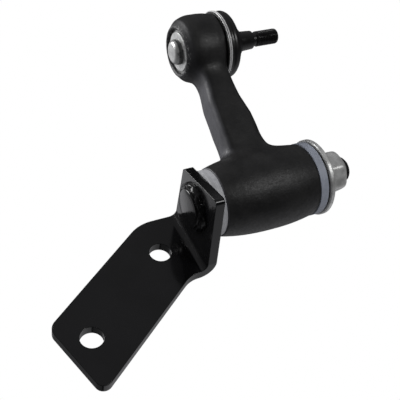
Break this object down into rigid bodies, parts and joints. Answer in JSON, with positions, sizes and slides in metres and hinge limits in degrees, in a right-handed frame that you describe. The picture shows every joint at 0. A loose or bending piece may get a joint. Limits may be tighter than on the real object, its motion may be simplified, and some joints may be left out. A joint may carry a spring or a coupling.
{
  "type": "steering idler arm",
  "caption": "Steering idler arm: bent steel bracket with a fixed pivot shaft, a forged arm turning on flanged bushes, and a booted ball joint with a tapered stud.",
  "frame": {"origin": "centre of the two bracket bolt holes, on the bolted face of the bracket", "axes": "+Y leaves the bolted face towards the pivot; +Z runs along the pivot shaft from the ear to the nut; +X points to the ball joint side"},
  "size_m": [0.1937, 0.0892, 0.1989],
  "materials": {
    "bracket_paint": "gloss black paint over pressed steel plate",
    "shaft_steel": "gloss black paint over turned and welded steel",
    "weld_paint": "gloss black paint over a rippled weld bead",
    "forging": "satin black coating over a rough forged surface",
    "zinc_washer": "bright zinc plated steel, fine turning marks",
    "zinc_nut": "bright zinc plated steel, satin flats",
    "insert_nylon": "blue-grey nylon",
    "bush_grey": "pale grey nylon, satin",
    "bush_blue": "blue-grey nylon, satin",
    "seal_rubber": "black seal rubber",
    "seat_resin": "natural bearing resin",
    "spring_steel": "bare spring wire",
    "cover_zinc": "pressed steel, dull zinc plate",
    "boot_rubber": "black boot rubber, soft sheen",
    "ring_wire": "bright stainless wire",
    "lip_plastic": "black moulded ring",
    "stud_black": "black oxide over ground steel"
  },
  "bodies": {
    "bracket": {"mounting_bracket": "bracket_paint", "pivot_shaft": "shaft_steel", "shaft_weld_bead": "weld_paint", "retaining_washer": "zinc_washer", "lock_nut": "zinc_nut", "lock_nut_insert": "insert_nylon"},
    "arm": {"forged_arm": "forging", "ear_side_bush": "bush_grey", "nut_side_bush": "bush_blue", "nut_side_seal": "seal_rubber", "lower_ball_seat": "seat_resin", "upper_ball_seat": "seat_resin", "preload_spring": "spring_steel", "cover_disc": "cover_zinc", "dust_boot": "boot_rubber", "boot_wire_ring": "ring_wire"},
    "boot_lip": {"boot_lip_ring": "lip_plastic"},
    "stud": {"ball_stud": "stud_black"}
  },
  "joints": [
    {"name": "arm_pivot", "type": "hinge", "parent": "bracket", "child": "arm", "pos_m": [0.0258, 0.0324, 0.0905], "axis": [0, 0, 1], "range_deg": [-40, 40]},
    {"name": "ball_tilt", "type": "hinge", "parent": "arm", "child": "boot_lip", "pos_m": [0.12221, 0.06721, 0.0943], "axis": [0.9406, 0.3396, 0], "range_deg": [-18, 18], "deforming": ["dust_boot"]},
    {"name": "stud_spin", "type": "hinge", "parent": "boot_lip", "child": "stud", "pos_m": [0.12221, 0.06721, 0.0943], "axis": [0, 0, 1], "continuous": true}
  ]
}
